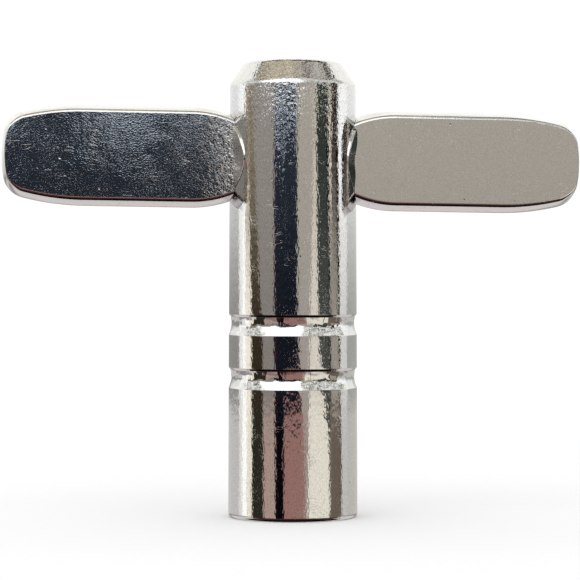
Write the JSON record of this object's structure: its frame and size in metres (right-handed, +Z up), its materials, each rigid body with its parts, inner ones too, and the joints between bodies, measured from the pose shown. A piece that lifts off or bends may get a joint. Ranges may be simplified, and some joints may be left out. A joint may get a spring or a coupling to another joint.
{
  "type": "radiator bleed key",
  "caption": "T-shaped hand key with flat wings, a grooved round barrel and a square socket in its lower end, for opening radiator bleed valves.",
  "frame": {"origin": "centre of the barrel's lower end face, at the mouth of the socket", "axes": "+Z up along the barrel's axis, from the socket's mouth towards the wings; wings along X; the wings' flat faces face +Y and -Y"},
  "size_m": [0.0498, 0.0112, 0.039],
  "materials": {
    "chrome_plate": "polished chrome plate with fine pits and scratches",
    "hardened_steel": "dark oiled hardened steel"
  },
  "bodies": {
    "root": {"barrel": "chrome_plate", "left_wing": "chrome_plate", "right_wing": "chrome_plate", "tie_pin": "hardened_steel", "socket_insert": "hardened_steel"}
  },
  "joints": []
}
